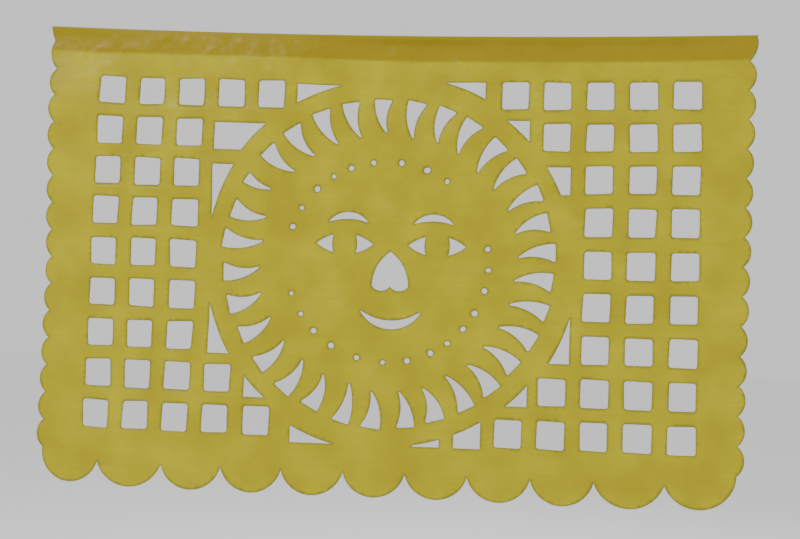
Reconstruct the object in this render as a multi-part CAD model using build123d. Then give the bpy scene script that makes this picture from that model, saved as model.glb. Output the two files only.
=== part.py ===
from build123d import *
import os
from collections import namedtuple
from math import asin, atan, cos, degrees, hypot, pi, radians, sin, tan
from random import Random

# Papel picado banner: one sheet of tissue paper with its top edge folded back and
# pasted down as a hem, and a hanging string through the fold.
# Millimetres. X runs along the string to the right, Z up, and the front faces -Y.
# The origin is on the string's axis at the middle of the banner.

# Sheet and hem
sheet_width = 503.0          # across the tips of the top side scallops
paper_thickness = 0.1
hem_depth = 17.0             # string axis to the cut edge of the folded-back flap
paste_top = 9.0              # string axis to where the flap meets the panel
flap_corner_left = (10.0, 6.0)      # length and height trimmed off the flap's lower corners
flap_corner_right = (26.0, 6.0)
flap_narrowing = 2.3         # how far each end of the flap runs in
flap_corner_bulge = 1.2

# String
string_diameter = 0.8
string_clearance = 0.15      # all round the string inside the fold
string_run_out = 3.5         # straight string past each end of the fold
left_tail = (-5.5, 4.0)      # from that point to the left end: along X, up Z
right_tail = (2.8, 6.6)

# Scalloped edges: a notch is the inner point between two scallops
side_scallop_depth = 4.6
left_taper = 1.5             # how far the left side runs in towards the bottom
right_taper = 5.0
left_scallop_pitch = 19.4
left_first_notch = 30.5      # below the string axis
left_shallow_notch = (2.0, 10.0)    # depth, and distance below the string axis
left_top_scallops = (0.8, 3.7)      # depths above and below the shallow notch
right_top_scallop = 2.3
right_scallop_pitch = 20.5
right_first_notch = 18.0
corner_notch_height = 25.5   # last side notch above the bottom tips
corner_scallop_left = 41.5   # widths of the corner scallops
corner_scallop_right = 47.5
corner_scallop_depth = 19.5
bottom_scallop_pitch = 43.3
bottom_end_scallop = 47.5    # the scallop next to each corner one is wider
bottom_scallop_depth = 16.5

# Lattice of square openings on both sides of the sun
cell_width = 18.4
cell_height = 19.4
cell_corner = 1.9
column_pitch = 29.5
column_count = 7             # down to the ones that the sun covers
side_margin = 46.2           # sheet edge to the middle of the outer column
middle_row_lift = 1.2        # middle row above the sun's centre
row_pitch_left = 29.2        # the rows open up a little towards the right
row_pitch_right = 29.9
left_lean = 0.45             # each row on the left lies this much further out than the one above
lattice_top_margin = 31.0    # least distance from string axis to a cell
lattice_bottom_margin = 34.0
cell_wander = 0.5            # how far a corner strays under the knife
sliver_area = 25.0           # a trimmed cell smaller than this is not cut

# Sun: a ring of curved rays, a ring of punched dots and a face
ring_radius = 130.5          # the lattice stops at this circle
band_above_ring = 31.7       # string axis to the ring
band_below_ring = 35.8       # ring to the tips of the bottom scallops
ruling_offset = 4.5          # the rays are ruled from a point this far right of the centre
ray_count = 32
ray_start = 5.2              # degrees from +X
ring_band = 12.9             # ring to the outer ends of the rays
ray_length = 26.0
ray_lead_width = 6.2         # from the middle line to the corner on the bulging side
ray_trail_width = 7.2
ray_tip_swing = -1.9         # sideways place of the inner tip
ray_bulge = 2.6
ray_corner = 1.0
ray_tip_width = 0.9
ray_outer_slant = 0.8        # the trailing outer corner lies this much nearer the centre
ray_wander = (1.0, 1.5, 0.08, 0.5)  # outer radius, inner radius, share of the width, degrees
short_ray = 13               # one ray is cut short and thin
short_ray_cut = 5.5
short_ray_width = 0.62
dot_gap = 20.2               # inner tips of the rays to the ring of dots
dot_radius = 1.75
dot_wander = 0.2             # share of the size
# The dots are punched by eye, so each has its own angle from +X. Left out of the list are
# the five that are only dimples, at 20, 31, 42, 173 and 186 degrees.
dot_angles = [9, 55, 68, 83, 99, 112, 123, 135, 149, 161, 200, 213]
dot_angles += [225, 238, 254, 269, 283, 297, 308, 320, 331, 345, 357]

# Face, placed from the sun's centre
face_shift = 2.6             # middle of the face right of the sun's centre
eye_spacing = 65.0
eye_height = 12.2
eye_length = 40.2
lid_rise = 7.3
iris_size = (9.0, 14.0)      # half width and half height of the oval that parts an eye
brow_spacing = 60.0
brow_height = 27.9
brow_length = 27.6
brow_rise = 6.8
brow_thickness = 4.8
nose_top = 7.5
nose_bottom = -20.4
nose_width = 25.4
nose_lobe = 3.2
nose_bulge = 3.4             # how far each side bows out
mouth_height = -35.3
mouth_length = 42.5
mouth_drop = 6.2
mouth_thickness = 6.1
crescent_end = 1.0           # width of the blunt ends of brows and mouth

# Worked-out sizes
fold_inner_radius = string_diameter / 2 + string_clearance
fold_outer_radius = fold_inner_radius + paper_thickness
half_width = sheet_width / 2
sun_centre_depth = band_above_ring + ring_radius
panel_height = sun_centre_depth + ring_radius + band_below_ring
ray_outer_radius = ring_radius - ring_band
ray_inner_radius = ray_outer_radius - ray_length
dot_ring_radius = ray_inner_radius - dot_gap
bottom_notch_z = bottom_scallop_depth - panel_height
corner_notch_z = corner_notch_height - panel_height

# A block of lattice cells with no bars between them, cut off by the ring. It lies further
# out and down than its cells by out and drop, and stays clear of the ring by gap.
Block = namedtuple("Block", "columns rows out drop gap")
left_blocks = [
    Block((5, 6), (0,), 0.0, 2.0, 0.5),
    Block((3, 4), (1,), 0.0, 2.0, 1.0),
    Block((3,), (2, 3), 0.5, 3.0, -0.8),
    Block((3,), (-4, -3), 0.0, 2.0, 0.0),
    Block((4,), (-2,), 2.0, 3.0, -0.5),
    Block((5, 6), (-1,), -2.5, 4.5, 4.0),
]
right_blocks = [
    Block((5, 6), (0,), -1.0, 0.5, 5.0),
    Block((4,), (1,), 1.0, -2.0, 1.0),
    Block((3,), (2,), 0.5, 1.0, 0.0),
    Block((3,), (-4, -3), 2.5, 0.0, 3.0),
    Block((4,), (-2,), 3.5, 1.0, 0.5),
    Block((5,), (-1,), 1.5, 1.5, 0.0),
    Block((6,), (-1,), 2.5, 1.5, 0.0),
]


def sun_point(x, z):
    """A place given from the sun's centre, as a point of the sheet."""
    return (x, z - sun_centre_depth)


def scallop(start, end, depth):
    """An arc that bulges by depth to the right of the way from start to end."""
    along = Vector(*end) - Vector(*start)
    out = Vector(along.Y, -along.X).normalized()
    crest = (Vector(*start) + Vector(*end)) * 0.5 + out * depth
    return ThreePointArc(start, (crest.X, crest.Y), end)


def spaced(first, last, pitch):
    """Evenly spaced values from first to last, as near to the pitch as they come out."""
    count = max(1, round(abs(last - first) / pitch))
    return [first + (last - first) * k / count for k in range(count + 1)]


def side_notches(sign, first_depth, pitch, taper):
    """The notches down one side, from the first one to the corner notch."""
    points = []
    for z in spaced(-first_depth, corner_notch_z, pitch):
        inset = side_scallop_depth + taper * z / corner_notch_z
        points.append((sign * (half_width - inset), z))
    return points


def panel_outline():
    """The front panel from the fold line down, with its scalloped sides and bottom."""
    shallow_depth, shallow_z = left_shallow_notch
    left = side_notches(-1, left_first_notch, left_scallop_pitch, left_taper)
    right = side_notches(1, right_first_notch, right_scallop_pitch, right_taper)[::-1]
    first_x = left[-1][0] + corner_scallop_left
    last_x = right[0][0] - corner_scallop_right
    middle = spaced(first_x + bottom_end_scallop, last_x - bottom_end_scallop, bottom_scallop_pitch)
    bottom = [(x, bottom_notch_z) for x in [first_x, *middle, last_x]]
    top_left = (-half_width, 0)
    top_right = (half_width, 0)
    shallow = (shallow_depth - half_width, -shallow_z)
    above, below = left_top_scallops
    edges = [scallop(top_left, shallow, above), scallop(shallow, left[0], below)]
    for side in (left, right):
        edges += [scallop(a, b, side_scallop_depth) for a, b in zip(side, side[1:])]
    edges += [scallop(a, b, bottom_scallop_depth) for a, b in zip(bottom, bottom[1:])]
    edges.append(scallop(left[-1], bottom[0], corner_scallop_depth))
    edges.append(scallop(bottom[-1], right[0], corner_scallop_depth))
    edges.append(scallop(right[-1], top_right, right_top_scallop))
    edges.append(Line(top_right, top_left))
    return make_face(edges)


def ring_angle(radius, ruled_angle):
    """Where a line ruled from the off-centre point meets the circle of this radius."""
    return ruled_angle - degrees(asin(ruling_offset * sin(radians(ruled_angle)) / radius))


def cell(x, z, seed):
    """One square opening, with corners a little off, as a knife leaves them."""
    hand = Random(seed)
    corners = []
    for sx, sz in ((-1, -1), (1, -1), (1, 1), (-1, 1)):
        dx = hand.uniform(-cell_wander, cell_wander)
        dz = hand.uniform(-cell_wander, cell_wander)
        corners.append((x + sx * cell_width / 2 + dx, z + sz * cell_height / 2 + dz))
    square = Polygon(*corners, align=None)
    return fillet(square.vertices(), cell_corner)


def lattice_rows(pitch):
    """Heights of the rows, outwards from the middle one, that fit above the bottom edge."""
    middle = middle_row_lift - sun_centre_depth
    up = int((-lattice_top_margin - cell_height / 2 - middle) / pitch)
    down = int((middle - lattice_bottom_margin + panel_height - cell_height / 2) / pitch)
    return [middle - pitch * k for k in range(-up, down + 1)]


def lattice(sign, pitch, lean, blocks):
    """The openings on one side: whole cells outside the ring, and the blocks it cuts off."""
    rows = lattice_rows(pitch)
    outer_column = half_width - side_margin
    columns = [outer_column - column_pitch * k for k in range(column_count)]
    joined = [(column, row % len(rows)) for block in blocks for column in block.columns for row in block.rows]
    openings = []
    for row, z in enumerate(rows):
        shift = lean * (row - (len(rows) - 1) / 2)
        for column, x in enumerate(columns):
            near_x = max(x - cell_width / 2, 0)
            near_z = max(abs(z + sun_centre_depth) - cell_height / 2, 0)
            if hypot(near_x, near_z) > ring_radius and (column, row) not in joined:
                openings.append(cell(sign * (x + shift), z, 100 * row + 10 * column + sign))
    for block in blocks:
        xs = [columns[k] + block.out for k in block.columns]
        zs = [rows[k] - block.drop for k in block.rows]
        width = max(xs) - min(xs) + cell_width
        height = max(zs) - min(zs) + cell_height
        centre = (sign * (max(xs) + min(xs)) / 2, (max(zs) + min(zs)) / 2)
        ring = Pos(*sun_point(0, 0)) * Circle(ring_radius + block.gap)
        trimmed = Pos(*centre) * Rectangle(width, height) - ring
        openings += [face for face in trimmed.faces() if face.area > sliver_area]
    return openings


def ray(index):
    """One curved ray: a blunt outer end on the ring, and both sides bowed the same way."""
    hand = Random(index)
    outer_wander, inner_wander, width_wander, angle_wander = ray_wander
    outer = ray_outer_radius + hand.uniform(-outer_wander, outer_wander)
    inner = ray_inner_radius + hand.uniform(-inner_wander, inner_wander)
    width = 1 + hand.uniform(-width_wander, width_wander)
    if index == short_ray:
        inner += short_ray_cut
        width = short_ray_width
    lead = (outer, ray_lead_width * width)
    trail = (outer - ray_outer_slant, -ray_trail_width * width)
    lead_tip = (inner, ray_tip_swing + ray_tip_width / 2)
    trail_tip = (inner, ray_tip_swing - ray_tip_width / 2)
    lead_side = scallop(lead_tip, lead, -ray_bulge * width)
    trail_side = scallop(trail, trail_tip, ray_bulge * width)
    blade = make_face([lead_side, Line(lead, trail), trail_side, Line(trail_tip, lead_tip)])
    corners = blade.vertices().sort_by(Axis.X)[-2:]
    blade = fillet(corners, ray_corner)
    ruled = ray_start + index * 360 / ray_count
    angle = ring_angle((outer + inner) / 2, ruled) + hand.uniform(-angle_wander, angle_wander)
    return Pos(*sun_point(0, 0)) * Rot(0, 0, angle) * blade


def dot(angle):
    """One small punched hole, slightly oval."""
    hand = Random(angle)
    size = dot_radius * (1 + hand.uniform(-dot_wander, dot_wander))
    hole = Ellipse(size * (1 + hand.uniform(0, dot_wander)), size)
    place = Pos(*sun_point(0, 0)) * Rot(0, 0, angle) * Pos(dot_ring_radius, 0)
    return place * Rot(0, 0, hand.uniform(0, 180)) * hole


def crescent(centre, length, rise, thickness):
    """A crescent between two arcs, with blunt ends; a negative rise makes a smile."""
    x, z = centre
    half = length / 2
    inner_half = half - crescent_end
    crest = z + rise
    hollow = crest - thickness if rise > 0 else crest + thickness
    outer = ThreePointArc((x - half, z), (x, crest), (x + half, z))
    inner = ThreePointArc((x + inner_half, z), (x, hollow), (x - inner_half, z))
    ends = [Line(outer @ 1, inner @ 0), Line(inner @ 1, outer @ 0)]
    return make_face([outer, inner, *ends])


def eye(centre):
    """An almond opening, parted by the iris that is left standing in its middle."""
    x, z = centre
    left = (x - eye_length / 2, z)
    right = (x + eye_length / 2, z)
    upper_lid = ThreePointArc(left, (x, z + lid_rise), right)
    lower_lid = ThreePointArc(right, (x, z - lid_rise), left)
    return (make_face([upper_lid, lower_lid]) - Pos(x, z) * Ellipse(*iris_size)).faces()


def nose():
    """A bell with two rounded lobes at its foot."""
    x, top = sun_point(face_shift, nose_top)
    foot = nose_bottom - sun_centre_depth
    left = (x - nose_width / 2, foot + nose_lobe)
    right = (x + nose_width / 2, foot + nose_lobe)
    middle = (x, foot + nose_lobe)
    apex = (x, top)
    sides = [
        scallop(left, middle, nose_lobe),
        scallop(middle, right, nose_lobe),
        scallop(right, apex, nose_bulge),
        scallop(apex, left, nose_bulge),
    ]
    return make_face(sides)


def face_openings():
    """Brows, eyes, nose and mouth."""
    openings = [nose()]
    for sign in (-1, 1):
        brow = sun_point(face_shift + sign * brow_spacing / 2, brow_height)
        openings.append(crescent(brow, brow_length, brow_rise, brow_thickness))
        openings += eye(sun_point(face_shift + sign * eye_spacing / 2, eye_height))
    mouth = sun_point(face_shift + 0.8, mouth_height)
    openings.append(crescent(mouth, mouth_length, -mouth_drop - mouth_thickness, mouth_thickness))
    return openings


def panel():
    """The front panel with everything cut out of it, down from the fold line."""
    openings = lattice(-1, row_pitch_left, left_lean, left_blocks)
    openings += lattice(1, row_pitch_right, 0, right_blocks)
    openings += [ray(k) for k in range(ray_count)]
    openings += [dot(angle) for angle in dot_angles]
    openings += face_openings()
    sheet = panel_outline() - openings
    return extrude(Plane.XZ.offset(fold_inner_radius) * sheet, paper_thickness)


def hem_section():
    """The fold round the string and the flap, as a closed outline across the banner."""
    inner = fold_inner_radius
    outer = fold_outer_radius
    lean = 2 * atan(inner / paste_top)
    tangent_inner = (inner * cos(lean), -inner * sin(lean))
    tangent_outer = (outer * cos(lean), -outer * sin(lean))
    meeting = (-inner, -paste_top)
    flap_back = paper_thickness - inner
    slope_length = (tangent_outer[0] - flap_back) / sin(lean)
    knee = (flap_back, tangent_outer[1] - slope_length * cos(lean))
    edges = [
        ThreePointArc((-outer, 0), (0, outer), tangent_outer),
        Line(tangent_outer, knee),
        Line(knee, (flap_back, -hem_depth)),
        Line((flap_back, -hem_depth), (-inner, -hem_depth)),
        Line((-inner, -hem_depth), meeting),
        Line(meeting, tangent_inner),
        ThreePointArc(tangent_inner, (0, inner), (-inner, 0)),
        Line((-inner, 0), (-outer, 0)),
    ]
    return make_face(edges)


def flap_outline():
    """The fold and flap seen from the front, with the flap's lower corners trimmed."""
    left_length, left_height = flap_corner_left
    right_length, right_height = flap_corner_right
    above = 2 * fold_outer_radius
    left = (flap_narrowing - half_width, left_height - hem_depth)
    right = (half_width - flap_narrowing, right_height - hem_depth)
    low_left = (left_length - half_width, -hem_depth)
    low_right = (half_width - right_length, -hem_depth)
    edges = [
        Line((-half_width, above), (-half_width, 0)),
        Line((-half_width, 0), left),
        scallop(left, low_left, flap_corner_bulge),
        Line(low_left, low_right),
        scallop(low_right, right, flap_corner_bulge),
        Line(right, (half_width, 0)),
        Line((half_width, 0), (half_width, above)),
        Line((half_width, above), (-half_width, above)),
    ]
    return make_face(edges)


def hem():
    """The fold and the flap behind the panel, one with it."""
    strip = extrude(Plane.YZ * hem_section(), half_width, both=True)
    trim = extrude(Plane.XZ * flap_outline(), 2 * fold_outer_radius, both=True)
    return strip & trim


def string():
    """The hanging string: straight through the fold, with a short loose tail at each end."""
    reach = half_width + string_run_out
    points = [
        (left_tail[0] - reach, 0, left_tail[1]),
        (-reach, 0, 0),
        (reach, 0, 0),
        (reach + right_tail[0], 0, right_tail[1]),
    ]
    vectors = [Vector(*point) for point in points]
    radii = []
    for before, corner, after in zip(vectors, vectors[1:], vectors[2:]):
        run = min((corner - before).length, (after - corner).length)
        turn = (corner - before).get_angle(after - corner)
        radii.append(0.45 * run / tan(radians(turn / 2)))
    print("string radii", [round(radius, 1) for radius in radii])
    path = FilletPolyline(*points, radius=radii)
    start = Plane(origin=path @ 0, z_dir=path % 0)
    tube = sweep(start * Circle(string_diameter / 2), path)
    fill = tube.volume / (pi * string_diameter**2 / 4 * path.length)
    print("string length", round(path.length, 2), "volume ratio", round(fill, 4))
    return tube


os.makedirs("parts", exist_ok=True)
export_step(panel() + hem(), "parts/cut_sheet.step")
export_step(string(), "parts/hanging_string.step")
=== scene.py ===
"""A papel picado banner: one cut, folded sheet of yellow tissue paper, hanging from a thin white thread."""

from math import cos, pi, radians, sin, sqrt

import bpy
import numpy as np
from mathutils import Matrix, Quaternion, Vector, kdtree, noise
from mathutils.geometry import delaunay_2d_cdt


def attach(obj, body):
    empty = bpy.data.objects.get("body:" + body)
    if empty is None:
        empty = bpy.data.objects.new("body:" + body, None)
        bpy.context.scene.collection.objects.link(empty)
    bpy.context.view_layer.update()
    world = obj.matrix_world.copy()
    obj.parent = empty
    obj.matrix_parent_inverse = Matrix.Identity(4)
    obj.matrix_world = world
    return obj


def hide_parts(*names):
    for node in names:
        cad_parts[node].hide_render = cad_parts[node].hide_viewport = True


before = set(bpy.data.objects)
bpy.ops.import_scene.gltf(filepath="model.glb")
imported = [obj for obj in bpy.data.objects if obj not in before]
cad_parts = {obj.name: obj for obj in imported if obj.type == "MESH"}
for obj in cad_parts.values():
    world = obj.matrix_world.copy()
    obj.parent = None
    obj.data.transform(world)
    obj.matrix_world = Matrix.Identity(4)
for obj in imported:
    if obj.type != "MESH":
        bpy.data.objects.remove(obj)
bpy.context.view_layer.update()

MM = 0.001  # the values below are in millimetres, in the part's frame

# The sheet
paper_thickness = 0.1
fold_radius = 0.6  # to the middle of the paper, round the thread
flap_offset = -0.48  # where the pasted flap lies, just behind the panel
hem_depth = 17.0
paste_top = 9.0

# The drape
sag = 3.8  # how far the middle of the thread hangs under its ends
tilt = 2.3  # how far the left end lies over the level line, and the right end under it
half_width = 251.0
panel_height = 328.5

# The mesh
panel_spacing = 2.5
hem_spacing = 1.5
edge_step = 2.0
top_columns = 330
fold_steps = 8
wall_steps = 6
flap_steps = 6
hem_mesh_depth = 26.0  # the finer spacing reaches down to here
row_ratio = 0.87  # of the spacing, between rows of points
scatter = 0.12  # of the spacing
scatter_seed = 11
side_look_down = 30.0  # the sheet's sides are read this far down
side_look_in = 240.0  # and this far out from the middle

# The paper at its edges
lip_height = 0.55  # of the lifted lips of the cuts
edge_reach = 0.9  # how fast the edge's lifted lips and painted shade fade inwards
held_depth = 7.0  # the thread holds the sheet still, less and less down to here
fold_band = 2.5  # the fold itself has no cut edge
corner_reach = 249.0  # except at its two ends
corner_mark = 0.35
hem_blur = 0.8  # over which the hem's painted shade ends

# The crumpled paper: heights, and how far down the handled top reaches
large_facets = 1.15
small_facets = 0.32
soft_swell = 0.9
handled_depth = 10.0
handled_fade = 22.0
crumple_floor = 0.28  # the share of the facets' height that is left lower down

# Waves that run across the sheet: direction in degrees, wavelength, height, phase
waves = [
    (4.0, 410.0, 2.6, 0.4),
    (86.0, 240.0, 1.7, 1.1),
    (32.0, 150.0, 0.7, 2.0),
    (-41.0, 118.0, 0.6, 0.2),
    (72.0, 74.0, 0.34, 2.6),
    (-12.0, 63.0, 0.22, 4.4),
]

# Creases: from x, z to x, z, then height towards the viewer, and width
creases = [
    (41, -6, 58, -35, 0.85, 3.2),
    (-57, -16, -47, -33, 0.7, 3.0),
    (-47, -16, -52, -34, -0.5, 2.4),
    (-44, -39, -34, -40, 0.7, 1.8),
    (37, -33, 40, -46, 0.8, 2.4),
    (-166, -56, -32, -58, 1.0, 4.2),
    (74, -58, 178, -60, 1.0, 4.2),
    (-230, -90, -60, -88, -0.9, 5.0),
    (58, -118, 112, -142, -0.8, 5.0),
    (-86, -20, -87, -322, 0.55, 2.0),
    (171, -52, 211, -78, 0.85, 2.8),
    (180, -50, 216, -70, -0.5, 2.4),
    (217, -77, 249, -86, 0.8, 2.6),
    (-247, -292, -214, -310, 1.1, 3.4),
    (-238, -2, -226, -17, 0.6, 2.2),
    (-226, -17, -206, -4, -0.5, 2.2),
    (-206, -3, -197, -16, 0.6, 2.0),
    (-188, -2, -174, -13, 0.5, 2.0),
    (-172, -14, -158, -3, -0.5, 2.2),
    (-150, -3, -139, -18, 0.6, 2.4),
    (-139, -18, -120, -6, 0.45, 2.0),
    (-118, -2, -104, -15, -0.5, 2.0),
    (-82, -3, -74, -18, 0.6, 2.0),
    (-68, -14, -44, -5, 0.55, 2.2),
    (-36, -4, -22, -17, 0.5, 2.2),
    (-14, -6, 14, -12, 0.4, 2.4),
    (74, -5, 96, -19, 0.5, 2.4),
    (118, -18, 140, -6, 0.45, 2.2),
    (158, -4, 172, -19, 0.5, 2.2),
    (196, -18, 222, -8, 0.5, 2.4),
    (222, -20, 232, -8, 0.6, 2.0),
    (-36, -181, -26, -188, 0.4, 1.6),
    (35, -180, 44, -187, 0.4, 1.6),
    (-120, -262, -60, -284, 0.45, 3.2),
    (90, -250, 150, -292, 0.45, 3.2),
    (-210, -150, -168, -196, 0.4, 3.0),
    (188, -186, 236, -236, 0.45, 3.0),
]

# Small dimples: x, z, depth away from the viewer, radius
dimples = [(-28.5, -150.0, 0.5, 1.3), (34.8, -148.5, 0.5, 1.3)]


def drop(x):
    """How far the hanging line lies above its level place at x."""
    return -sag * (1 - (x / half_width) ** 2) - tilt * x / half_width


def drape(x, z):
    """The same for the sheet, which evens out towards the bottom."""
    return drop(x) * np.clip(1 + z / panel_height, 0, 1)


def link_object(name, data):
    """A new object of a mesh, curve, light or camera, in the scene."""
    obj = bpy.data.objects.new(name, data)
    bpy.context.scene.collection.objects.link(obj)
    return obj


# ---------------------------------------------------------------- outline


def front_edges(node):
    """The outline and openings of the sheet's front face, as edges between x, z points.

    They are the edges that only one of its triangles has."""
    mesh = node.data
    mesh.calc_loop_triangles()
    points = np.array([node.matrix_world @ v.co for v in mesh.vertices]) / MM
    front = points[:, 1].min()
    place = [(round(x, 3), round(z, 3)) for x, _, z in points]
    on_front = np.abs(points[:, 1] - front) < 0.01
    count = {}
    for triangle in mesh.loop_triangles:
        corners = list(triangle.vertices)
        if not on_front[corners].all():
            continue
        for a, b in zip(corners, corners[1:] + corners[:1]):
            key = tuple(sorted((place[a], place[b])))
            count[key] = count.get(key, 0) + 1
    return [key for key, times in count.items() if times == 1]


def side_limits(edges):
    """Functions that give the x of the sheet's left and right edge at a height near the top."""
    near = sorted({point for edge in edges for point in edge if point[1] > -side_look_down}, key=lambda p: p[1])
    left = [p for p in near if p[0] < -side_look_in]
    right = [p for p in near if p[0] > side_look_in]

    def limit(points):
        heights = [p[1] for p in points]
        return lambda z: float(np.interp(z, heights, [p[0] for p in points]))

    return limit(left), limit(right)


class Welder:
    """Gives each place in the plane one number."""

    def __init__(self):
        self.points = []
        self.number = {}

    def add(self, x, z):
        key = (round(x, 3), round(z, 3))
        if key not in self.number:
            self.number[key] = len(self.points)
            self.points.append(key)
        return self.number[key]


def split_edges(edges, columns):
    """The outline as welded points and short edges, with the top edge split at the columns."""
    weld = Welder()
    short = []
    for (ax, az), (bx, bz) in edges:
        if abs(az) < 0.01 and abs(bz) < 0.01:
            continue
        steps = max(1, int(np.ceil(sqrt((bx - ax) ** 2 + (bz - az) ** 2) / edge_step)))
        chain = []
        for i in range(steps + 1):
            chain.append(weld.add(ax + (bx - ax) * i / steps, az + (bz - az) * i / steps))
        short += [(a, b) for a, b in zip(chain, chain[1:]) if a != b]
    top = [weld.add(x, 0.0) for x in columns]
    short += list(zip(top, top[1:]))
    return weld, short


def inside(points, segments):
    """Which points lie in the paper, by the even-odd rule."""
    result = np.zeros(len(points), bool)
    ax, az, bx, bz = segments.T
    for start in range(0, len(points), 1500):
        px = points[start:start + 1500, 0][:, None]
        pz = points[start:start + 1500, 1][:, None]
        crosses = (az > pz) != (bz > pz)
        with np.errstate(divide="ignore", invalid="ignore"):
            at = ax + (pz - az) * (bx - ax) / (bz - az)
        result[start:start + 1500] = (crosses & (px < at)).sum(axis=1) % 2 == 1
    return result


def filling(outline):
    """Points that fill the sheet, closer together in the hem, with a little scatter."""
    rng = np.random.default_rng(scatter_seed)
    near = kdtree.KDTree(len(outline))
    for i, (x, z) in enumerate(outline):
        near.insert((x, 0, z), i)
    near.balance()
    found = []
    z = -hem_spacing
    row = 0
    while z > -panel_height - 2:
        spacing = hem_spacing if z > -hem_mesh_depth else panel_spacing
        for x in np.arange(-half_width - 2 + (row % 2) * spacing / 2, half_width + 2, spacing):
            dx, dz = rng.uniform(-scatter, scatter, 2) * spacing
            if near.find((x + dx, 0, z + dz))[2] > 0.5 * spacing:
                found.append((x + dx, z + dz))
        z -= spacing * row_ratio
        row += 1
    return found, near


# ----------------------------------------------------------------- relief


def crease_height(x, z):
    """The sharp ridges and valleys of the crease list."""
    total = np.zeros_like(x)
    for x0, z0, x1, z1, height, width in creases:
        run = np.array([x1 - x0, z1 - z0], float)
        length = np.hypot(*run)
        along = ((x - x0) * run[0] + (z - z0) * run[1]) / length
        across = ((x - x0) * run[1] - (z - z0) * run[0]) / length
        end = np.clip(1.15 - np.abs(2 * along / length - 1), 0, 0.3) / 0.3
        total += -height * np.exp(-np.abs(across) / width) * end
    return total


def crumple(x, z):
    """Crisp facets in the handled top of the sheet, and faint ones lower down."""
    total = np.zeros_like(x)
    for i, (px, pz) in enumerate(zip(x, z)):
        handled = np.exp(-max(0.0, -pz - handled_depth) / handled_fade)
        band = crumple_floor + (1 - crumple_floor) * handled
        large = noise.turbulence(Vector((px / 19, pz / 13, 3.1)), 2, True)
        small = noise.turbulence(Vector((px / 7, pz / 5, 8.4)), 2, True)
        soft = noise.noise(Vector((px / 46, pz / 30, 5.7)))
        total[i] = band * (large_facets * large + small_facets * small) + soft_swell * soft
    return total


def relief(x, z, edge):
    """How far the sheet lies from its plane, away from the viewer, at each point."""
    total = np.zeros_like(x)
    for direction, wavelength, height, phase in waves:
        turn = radians(direction)
        total += height * np.sin(2 * pi * (x * cos(turn) + z * sin(turn)) / wavelength + phase)
    total += crease_height(x, z) + crumple(x, z)
    for px, pz, depth, radius in dimples:
        total += depth * np.exp(-((x - px) ** 2 + (z - pz) ** 2) / radius ** 2)
    lips = np.array([noise.noise(Vector((px / 8, pz / 8, 1.3))) for px, pz in zip(x, z)])
    total += lip_height * lips * edge
    held = np.clip(-z / held_depth, 0, 1)
    return total * held ** 2 * (3 - 2 * held)


# ------------------------------------------------------------------ sheet


def hem_rows():
    """The sheet's path over the thread and down behind, as y, z pairs."""
    rows = []
    for i in range(fold_steps + 1):
        turn = pi * i / fold_steps
        rows.append((-fold_radius * cos(turn), fold_radius * sin(turn)))
    for i in range(1, wall_steps + 1):
        share = i / wall_steps
        rows.append((fold_radius + (flap_offset - fold_radius) * share, -paste_top * share))
    for i in range(1, flap_steps + 1):
        rows.append((flap_offset, -paste_top - (hem_depth - paste_top) * i / flap_steps))
    return rows


def fill_panel(outline, extra, short):
    """The panel as x, z points and triangles, with its openings left out."""
    segments = np.array([outline[a] + outline[b] for a, b in short])
    flat = [Vector(p) for p in outline + extra]
    points, _, faces, *_ = delaunay_2d_cdt(flat, short, [], 0, 1e-4)
    points = np.array([tuple(p) for p in points])
    faces = np.array([f for f in faces if len(f) == 3])
    faces = faces[inside(points[faces].mean(axis=1), segments)]
    used = np.unique(faces)
    renumber = np.full(len(points), -1)
    renumber[used] = np.arange(len(used))
    return points[used], renumber[faces]


def sheet_mesh(node):
    """The whole sheet's middle surface: panel, fold, back wall and flap, with its relief and drape."""
    edges = front_edges(node)
    left, right = side_limits(edges)
    columns = np.linspace(left(0.0), right(0.0), top_columns)
    weld, short = split_edges(edges, columns)
    extra, near = filling(weld.points)
    points, faces = fill_panel(list(weld.points), extra, short)

    x, z = points.T
    base_y = np.full(len(x), -fold_radius)
    base_z = z.copy()
    relief_z = z.copy()  # the height on the panel whose relief a point takes
    polygons = [tuple(int(i) for i in f) for f in faces]

    top = [i for i in range(len(points)) if abs(points[i, 1]) < 1e-3]
    previous = sorted(top, key=lambda i: points[i, 0])
    for y_row, z_row in hem_rows()[1:]:
        height = min(z_row, 0.0)
        first = len(x)
        x = np.append(x, np.linspace(left(height), right(height), top_columns))
        base_y = np.append(base_y, np.full(top_columns, y_row))
        base_z = np.append(base_z, np.full(top_columns, z_row))
        relief_z = np.append(relief_z, np.full(top_columns, height))
        row = list(range(first, first + top_columns))
        for i in range(top_columns - 1):
            polygons.append((previous[i], previous[i + 1], row[i + 1], row[i]))
        previous = row

    distance = np.array([near.find((px, 0, pz))[2] for px, pz in zip(x, relief_z)])
    edge = np.exp(-distance / edge_reach)
    on_fold = np.abs(relief_z) < fold_band
    edge[on_fold] = corner_mark * (np.abs(x[on_fold]) > corner_reach)
    y = base_y + relief(x, relief_z, edge)
    world_z = base_z + drape(x, relief_z)
    # the share of the hem's painted shade, blurred at its lower end
    hem = np.clip((relief_z + hem_depth + hem_blur / 2) / hem_blur, 0, 1)

    mesh = bpy.data.meshes.new("paper_sheet")
    mesh.from_pydata([(a * MM, b * MM, c * MM) for a, b, c in zip(x, y, world_z)], [], polygons)
    for name, values in (("hem", hem), ("edge", edge)):
        layer = mesh.attributes.new(name, "FLOAT", "POINT")
        layer.data.foreach_set("value", values.astype(np.float32))
    mesh.polygons.foreach_set("use_smooth", [True] * len(mesh.polygons))
    mesh.update()
    return mesh


# -------------------------------------------------------------- materials


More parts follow.
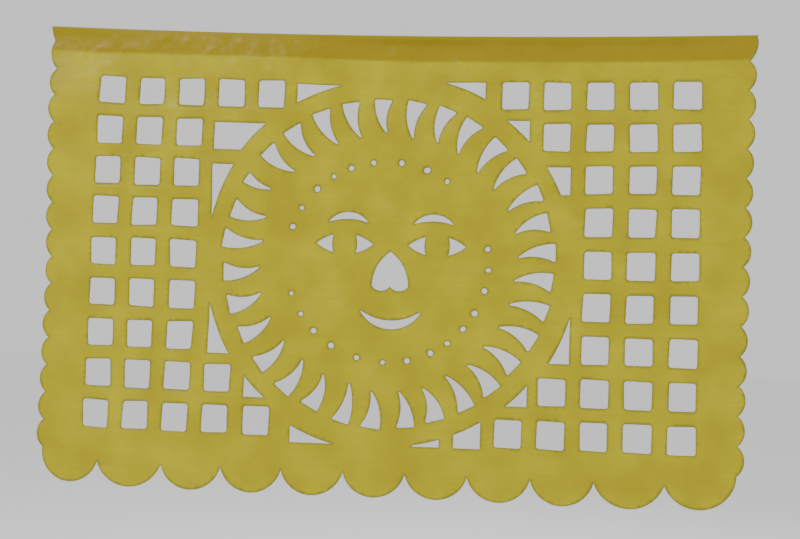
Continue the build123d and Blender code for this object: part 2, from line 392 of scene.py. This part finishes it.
yellow = (0.52, 0.44, 0.004, 1)
light_yellow = (0.62, 0.56, 0.006, 1)
streak_yellow = (0.50, 0.40, 0.004, 1)
fibre_yellow = (0.68, 0.63, 0.02, 1)
# painted shade for the hem's two layers, added on top of their rendered translucency
hem_painted_shade = (0.44, 0.31, 0.003, 1)
# painted shade along the cut edges and at the fold's two ends
painted_edge_shade = (0.27, 0.25, 0.03, 1)
translucency = 0.38


class Nodes:
    """A short way to add nodes to a material."""

    def __init__(self, name):
        self.material = bpy.data.materials.new(name)
        self.material.use_nodes = True
        self.tree = self.material.node_tree
        self.tree.nodes.clear()

    def add(self, kind, inputs=None, **settings):
        node = self.tree.nodes.new(kind)
        for key, value in settings.items():
            setattr(node, key, value)
        for key, value in (inputs or {}).items():
            if isinstance(value, bpy.types.NodeSocket):
                self.tree.links.new(value, node.inputs[key])
            else:
                node.inputs[key].default_value = value
        return node

    def mix(self, share, first, second):
        """The second colour over the first, by that share."""
        node = self.add("ShaderNodeMix", data_type="RGBA")
        for index, value in ((0, share), (6, first), (7, second)):
            if isinstance(value, bpy.types.NodeSocket):
                self.tree.links.new(value, node.inputs[index])
            else:
                node.inputs[index].default_value = value
        return node.outputs[2]

    def share(self, value, low, high, most=1.0):
        """The value mapped from low..high to 0..most."""
        node = self.add("ShaderNodeMapRange", {0: value, 1: low, 2: high, 3: 0.0, 4: most})
        return node.outputs[0]


def paper_material():
    """Tissue paper: mottled, streaked along the sheet, with painted shade where two layers lie in the hem and
    along the cut edges.
    """
    n = Nodes("tissue_paper")
    place = n.add("ShaderNodeTexCoord").outputs["Object"]
    stretched = n.add("ShaderNodeMapping", {"Vector": place, "Scale": (14.0, 14.0, 420.0)}).outputs[0]
    cloud = n.add("ShaderNodeTexNoise", {"Vector": place, "Scale": 34.0, "Detail": 5.0}).outputs["Fac"]
    fibre = n.add("ShaderNodeTexNoise", {"Vector": place, "Scale": 1500.0, "Detail": 6.0}).outputs["Fac"]
    streak = n.add("ShaderNodeTexNoise", {"Vector": stretched, "Scale": 1.0, "Detail": 3.0}).outputs["Fac"]
    hem = n.add("ShaderNodeAttribute", attribute_name="hem").outputs["Fac"]
    edge = n.add("ShaderNodeAttribute", attribute_name="edge").outputs["Fac"]

    colour = n.mix(n.share(cloud, 0.35, 0.68), yellow, light_yellow)
    colour = n.mix(n.share(streak, 0.45, 0.75, 0.35), colour, streak_yellow)
    colour = n.mix(n.share(fibre, 0.5, 0.8, 0.22), colour, fibre_yellow)
    # painted shade: the hem darker where two layers lie
    colour = n.mix(n.share(hem, 0.0, 1.0, 0.75), colour, hem_painted_shade)
    # painted shade: darker olive along the cut edges and at the fold's two ends
    colour = n.mix(n.share(edge, 0.25, 1.0, 0.7), colour, painted_edge_shade)

    height = n.add("ShaderNodeMath", {0: fibre, 1: streak}, operation="ADD").outputs[0]
    bump = n.add("ShaderNodeBump", {"Strength": 0.22, "Distance": 0.00012, "Height": height}).outputs[0]
    face = n.add(
        "ShaderNodeBsdfPrincipled",
        {"Base Color": colour, "Roughness": 0.42, "Specular IOR Level": 0.35, "Normal": bump},
    ).outputs[0]
    through = n.add("ShaderNodeBsdfTranslucent", {"Color": colour, "Normal": bump}).outputs[0]
    shader = n.add("ShaderNodeMixShader", {0: translucency, 1: face, 2: through}).outputs[0]
    n.add("ShaderNodeOutputMaterial", {"Surface": shader})
    return n.material


def edge_material():
    """The cut edge, where the paper's fibres show darker."""
    n = Nodes("cut_edge")
    place = n.add("ShaderNodeTexCoord").outputs["Object"]
    fibre = n.add("ShaderNodeTexNoise", {"Vector": place, "Scale": 900.0, "Detail": 4.0}).outputs["Fac"]
    colour = n.mix(fibre, (0.24, 0.22, 0.02, 1), (0.36, 0.33, 0.04, 1))
    face = n.add("ShaderNodeBsdfPrincipled", {"Base Color": colour, "Roughness": 0.7}).outputs[0]
    n.add("ShaderNodeOutputMaterial", {"Surface": face})
    return n.material


def thread_material():
    """Off-white cotton."""
    n = Nodes("white_thread")
    place = n.add("ShaderNodeTexCoord").outputs["Object"]
    fibre = n.add("ShaderNodeTexNoise", {"Vector": place, "Scale": 2600.0, "Detail": 5.0}).outputs["Fac"]
    colour = n.mix(fibre, (0.62, 0.60, 0.54, 1), (0.86, 0.85, 0.80, 1))
    bump = n.add("ShaderNodeBump", {"Strength": 0.5, "Distance": 0.00008, "Height": fibre}).outputs[0]
    face = n.add(
        "ShaderNodeBsdfPrincipled", {"Base Color": colour, "Roughness": 0.85, "Normal": bump}
    ).outputs[0]
    n.add("ShaderNodeOutputMaterial", {"Surface": face})
    return n.material


def plain_material(name, colour):
    """One matt colour, for the stage."""
    n = Nodes(name)
    face = n.add("ShaderNodeBsdfPrincipled", {"Base Color": colour, "Roughness": 0.9}).outputs[0]
    n.add("ShaderNodeOutputMaterial", {"Surface": face})
    return n.material


# ----------------------------------------------------------------- thread

ply_radius = 0.2
twist_pitch = 2.6
steps_per_turn = 8
ply_sides = 6

# x and z of the CAD's four points, with points between them that carry the sag
route = [
    (-260.5, 4.0),
    (-255.0, 0.0),
    (-247.0, 0.0),
    (-200.0, 0.0),
    (-150.0, 0.0),
    (-100.0, 0.0),
    (-50.0, 0.0),
    (0.0, 0.0),
    (50.0, 0.0),
    (100.0, 0.0),
    (150.0, 0.0),
    (200.0, 0.0),
    (247.0, 0.0),
    (255.0, 0.0),
    (257.8, 6.6),
]


def thread_path():
    """Points along a smooth curve through the route, in metres."""
    curve = bpy.data.curves.new("thread_route", "CURVE")
    curve.dimensions = "3D"
    spline = curve.splines.new("NURBS")
    spline.points.add(len(route) - 1)
    for point, (x, z) in zip(spline.points, route):
        held_x = max(-half_width, min(half_width, x))
        point.co = (x * MM, 0.0, (z + drop(held_x)) * MM, 1.0)
    spline.order_u = 3
    spline.use_endpoint_u = True
    spline.resolution_u = 24
    holder = link_object("thread_route", curve)
    mesh = bpy.data.meshes.new_from_object(holder)
    points = [v.co.copy() for v in mesh.vertices]
    bpy.data.objects.remove(holder)
    bpy.data.meshes.remove(mesh)
    return points


def even_points(points, step):
    """The path again at even steps."""
    points = np.array([tuple(p) for p in points])
    reach = np.append(0, np.cumsum(np.linalg.norm(np.diff(points, axis=0), axis=1)))
    count = int(reach[-1] / step) + 1
    at = np.linspace(0, reach[-1], count)
    return np.array([np.interp(at, reach, points[:, i]) for i in range(3)]).T, at


def thread_mesh(path):
    """Two plies twisted round each other, each a closed tube."""
    centre, reach = even_points(path, twist_pitch * MM / steps_per_turn)
    ahead = np.gradient(centre, axis=0)
    ahead /= np.linalg.norm(ahead, axis=1)[:, None]
    side = np.tile((0.0, 1.0, 0.0), (len(centre), 1))
    up = np.cross(ahead, side)
    vertices, faces = [], []
    for ply in range(2):
        turn = 2 * pi * reach / (twist_pitch * MM) + pi * ply
        out = side * np.cos(turn)[:, None] + up * np.sin(turn)[:, None]
        middle = centre + out * ply_radius * MM
        first = len(vertices)
        for i in range(len(centre)):
            for k in range(ply_sides):
                angle = 2 * pi * k / ply_sides
                ring = side[i] * cos(angle) + up[i] * sin(angle)
                vertices.append(tuple(middle[i] + ring * ply_radius * MM))
        for i in range(len(centre) - 1):
            for k in range(ply_sides):
                a = first + i * ply_sides + k
                b = first + i * ply_sides + (k + 1) % ply_sides
                faces.append((a, b, b + ply_sides, a + ply_sides))
        faces.append(tuple(range(first + ply_sides - 1, first - 1, -1)))
        last = first + (len(centre) - 1) * ply_sides
        faces.append(tuple(range(last, last + ply_sides)))
    mesh = bpy.data.meshes.new("thread")
    mesh.from_pydata(vertices, [], faces)
    mesh.polygons.foreach_set("use_smooth", [True] * len(mesh.polygons))
    mesh.update()
    return mesh


# ----------------------------------------------------------------- pieces

thread_points = thread_path()
thread = link_object("thread", thread_mesh(thread_points))
thread.data.materials.append(thread_material())
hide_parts("hanging_string")
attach(thread, "root")

paper = link_object("paper_sheet", sheet_mesh(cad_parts["cut_sheet"]))
paper.data.materials.append(paper_material())
paper.data.materials.append(edge_material())
thickness = paper.modifiers.new("thickness", "SOLIDIFY")
thickness.thickness = paper_thickness * MM
thickness.offset = 0.0
thickness.material_offset_rim = 1
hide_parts("cut_sheet")
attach(paper, "root")

# ------------------------------------------------------------------ stage


def area_light(name, place, target, size, power):
    """A square soft light at a place, aimed at the target."""
    light = bpy.data.lights.new(name, "AREA")
    light.size = size
    light.energy = power
    lamp = link_object(name, light)
    lamp.location = place
    lamp.rotation_euler = (Vector(target) - Vector(place)).to_track_quat("-Z", "Y").to_euler()
    return lamp


middle = (0.0, 0.0, -0.16)
area_light("key", (-1.1, -1.2, 1.0), middle, 0.5, 17.0)
area_light("fill", (1.4, -1.4, 0.1), middle, 1.2, 5.0)
area_light("back", (0.3, 1.2, 0.7), middle, 1.0, 9.0)

world_strength = 0.85
world = bpy.data.worlds.new("studio")
world.use_nodes = True
world.node_tree.nodes["Background"].inputs[0].default_value = (1.0, 1.0, 1.0, 1.0)
world.node_tree.nodes["Background"].inputs[1].default_value = world_strength
bpy.context.scene.world = world

floor_height = -0.62
floor_reach = 9
floor_signs = ((-1, -1), (1, -1), (1, 1), (-1, 1))
floor_corners = [(i * floor_reach, j * floor_reach, floor_height) for i, j in floor_signs]
floor_mesh = bpy.data.meshes.new("floor")
floor_mesh.from_pydata(floor_corners, [], [(0, 1, 2, 3)])
floor = link_object("floor", floor_mesh)
floor.data.materials.append(plain_material("pale_floor", (0.93, 0.93, 0.93, 1.0)))

camera_turn = Vector((2.614, 5.798, 1.593))  # degrees, away from looking straight along +Y
camera = link_object("camera", bpy.data.cameras.new("camera"))
camera.data.lens = 50.0
camera.data.sensor_width = 36.0
camera.location = (0.0888, -0.7757, -0.2035)
turned = Quaternion(camera_turn.normalized(), radians(camera_turn.length)).to_matrix()
camera.rotation_euler = (Matrix.Rotation(radians(90), 3, "X") @ turned).to_euler()
bpy.context.scene.camera = camera

bpy.context.view_layer.update()
